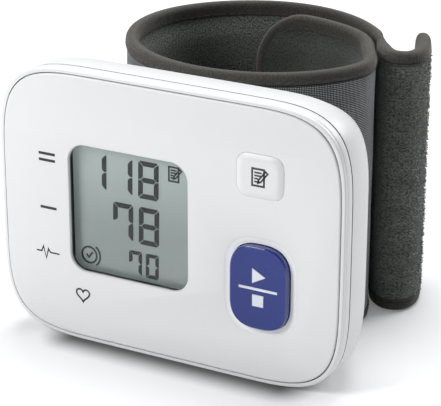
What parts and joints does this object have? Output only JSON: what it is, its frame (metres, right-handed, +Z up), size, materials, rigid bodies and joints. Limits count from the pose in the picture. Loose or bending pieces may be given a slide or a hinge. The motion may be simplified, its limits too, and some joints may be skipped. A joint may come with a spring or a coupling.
{
  "type": "wrist blood pressure monitor",
  "caption": "Flat rounded case with a recessed display, a large and a small push button and a rolled fabric cuff on its back, for measuring blood pressure at the wrist.",
  "frame": {"origin": "middle of the flat underside of the case, which the monitor stands on", "axes": "+Z up, face towards -Y, cuff towards +Y, +X to the right of someone who looks at the face"},
  "size_m": [0.084, 0.0758, 0.063],
  "materials": {
    "white_face": "satin white moulding",
    "white_case": "satin white moulding",
    "blue_button": "satin dark blue",
    "clear_lens": "clear polished plastic",
    "display": "grey-green liquid crystal glass",
    "dark_plastic": "dark moulding",
    "soft_rubber": "pale silicone",
    "board": "green solder mask",
    "steel": "bright steel",
    "battery_wrap": "plain printed wrap",
    "cuff_cloth": "dark grey-green knitted cloth with a loop pile",
    "lining_cloth": "dark grey felt",
    "binding_tape": "brown-grey woven edge tape, stitched",
    "bladder_film": "thin dull film",
    "band_plastic": "springy translucent sheet"
  },
  "bodies": {
    "monitor": {"face_plate": "white_face", "front_case": "white_case", "rear_case": "white_case", "display_lens": "clear_lens", "display_glass": "display", "display_frame": "dark_plastic", "contact_strip_upper": "soft_rubber", "contact_strip_lower": "soft_rubber", "circuit_board": "board", "start_switch": "dark_plastic", "memory_switch": "dark_plastic", "buzzer": "dark_plastic", "case_screw_top_left": "steel", "case_screw_bottom_left": "steel", "case_screw_top_right": "steel", "case_screw_bottom_right": "steel", "board_screw_1": "steel", "board_screw_2": "steel", "pump_motor": "steel", "pump_head": "dark_plastic", "air_tube": "soft_rubber", "air_manifold": "dark_plastic", "exhaust_valve": "steel", "pressure_sensor": "dark_plastic", "air_nipple": "soft_rubber", "battery_1": "battery_wrap", "battery_contact_upper_1": "steel", "battery_contact_lower_1": "steel", "battery_spring_1": "steel", "battery_2": "battery_wrap", "battery_contact_upper_2": "steel", "battery_contact_lower_2": "steel", "battery_spring_2": "steel", "cuff_outer_cloth": "cuff_cloth", "cuff_curler": "band_plastic", "air_bladder": "bladder_film", "cuff_lining": "lining_cloth", "cuff_edge_binding": "binding_tape", "cuff_screw_1": "steel", "cuff_screw_2": "steel", "cuff_screw_3": "steel"},
    "start_button": {"start_stop_button": "blue_button"},
    "start_plunger": {"start_switch_plunger": "soft_rubber"},
    "memory_button": {"memory_button": "white_face"},
    "memory_plunger": {"memory_switch_plunger": "soft_rubber"},
    "battery_cover": {"battery_cover": "white_case"},
    "pull_tail": {"pull_tail": "cuff_cloth", "pull_tail_binding": "binding_tape"}
  },
  "joints": [
    {"name": "start_stop_press", "type": "slide", "parent": "monitor", "child": "start_button", "axis": [0, 1, 0], "range_m": [0, 0.0005], "stiffness_N_per_m": 2500},
    {"name": "start_plunger_press", "type": "slide", "parent": "monitor", "child": "start_plunger", "axis": [0, 1, 0], "range_m": [0, 0.0005]},
    {"name": "memory_press", "type": "slide", "parent": "monitor", "child": "memory_button", "axis": [0, 1, 0], "range_m": [0, 0.0005], "stiffness_N_per_m": 2000},
    {"name": "memory_plunger_press", "type": "slide", "parent": "monitor", "child": "memory_plunger", "axis": [0, 1, 0], "range_m": [0, 0.0005]},
    {"name": "battery_cover_slide", "type": "slide", "parent": "monitor", "child": "battery_cover", "axis": [-1, 0, 0], "range_m": [0, 0.02]},
    {"name": "pull_tail_peel", "type": "hinge", "parent": "monitor", "child": "pull_tail", "pos_m": [0.02629, 0.04994, 0.0312], "axis": [0, 0, 1], "range_deg": [0, 25], "stiffness_Nm_per_rad": 0.02}
  ],
  "couplings": [
    {"joint": "start_plunger_press", "follows": "start_stop_press", "ratio": 1},
    {"joint": "memory_plunger_press", "follows": "memory_press", "ratio": 1}
  ]
}
